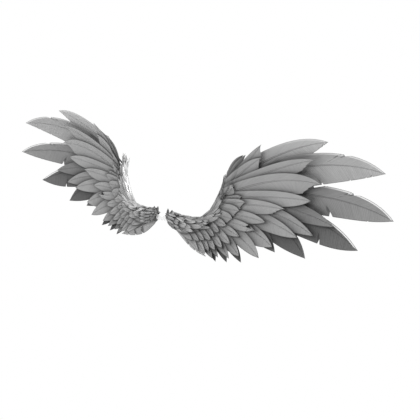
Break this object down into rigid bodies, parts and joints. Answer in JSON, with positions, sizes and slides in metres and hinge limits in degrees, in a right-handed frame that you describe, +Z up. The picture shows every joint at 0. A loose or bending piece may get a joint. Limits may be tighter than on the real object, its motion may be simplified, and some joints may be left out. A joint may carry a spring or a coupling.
{
  "type": "feather costume wings",
  "caption": "Pair of spread feathered costume wings in satin grey, with a scaled arm, layered covert rows and long split flight feathers, joined by a flat bar worn on the back.",
  "frame": {"origin": "middle of the back bar's front face, where the wings sit between the shoulder blades", "axes": "+X towards the wearer's left wing tip, -Y the way the wearer faces, +Z up"},
  "size_m": [1.2422, 0.0847, 0.3524],
  "materials": {
    "flight_feathers": "satin",
    "cover_feathers": "satin",
    "arm_feathers": "satin gloss",
    "bar": "matte white"
  },
  "bodies": {
    "root": {"left_arm": "arm_feathers", "left_primary_1": "flight_feathers", "left_primary_2": "flight_feathers", "left_primary_3": "flight_feathers", "left_primary_4": "flight_feathers", "left_primary_5": "flight_feathers", "left_primary_6": "flight_feathers", "left_secondary_1": "cover_feathers", "left_secondary_2": "cover_feathers", "left_secondary_3": "cover_feathers", "left_secondary_4": "cover_feathers", "left_secondary_5": "cover_feathers", "left_secondary_6": "cover_feathers", "left_covert_1": "cover_feathers", "left_covert_2": "cover_feathers", "left_covert_3": "cover_feathers", "left_covert_4": "cover_feathers", "left_covert_5": "cover_feathers", "left_covert_6": "cover_feathers", "left_covert_7": "cover_feathers", "left_covert_8": "cover_feathers", "left_covert_9": "cover_feathers", "left_covert_10": "cover_feathers", "left_covert_11": "cover_feathers", "left_lower_primary_strip": "flight_feathers", "left_lower_secondary_strip": "cover_feathers", "left_lower_covert_strip": "cover_feathers", "left_upper_lesser_strip": "cover_feathers", "left_lower_lesser_strip": "cover_feathers", "right_arm": "arm_feathers", "right_primary_1": "flight_feathers", "right_primary_2": "flight_feathers", "right_primary_3": "flight_feathers", "right_primary_4": "flight_feathers", "right_primary_5": "flight_feathers", "right_primary_6": "flight_feathers", "right_secondary_1": "cover_feathers", "right_secondary_2": "cover_feathers", "right_secondary_3": "cover_feathers", "right_secondary_4": "cover_feathers", "right_secondary_5": "cover_feathers", "right_secondary_6": "cover_feathers", "right_covert_1": "cover_feathers", "right_covert_2": "cover_feathers", "right_covert_3": "cover_feathers", "right_covert_4": "cover_feathers", "right_covert_5": "cover_feathers", "right_covert_6": "cover_feathers", "right_covert_7": "cover_feathers", "right_covert_8": "cover_feathers", "right_covert_9": "cover_feathers", "right_covert_10": "cover_feathers", "right_covert_11": "cover_feathers", "right_lower_primary_strip": "flight_feathers", "right_lower_secondary_strip": "cover_feathers", "right_lower_covert_strip": "cover_feathers", "right_upper_lesser_strip": "cover_feathers", "right_lower_lesser_strip": "cover_feathers", "back_bar": "bar"}
  },
  "joints": []
}
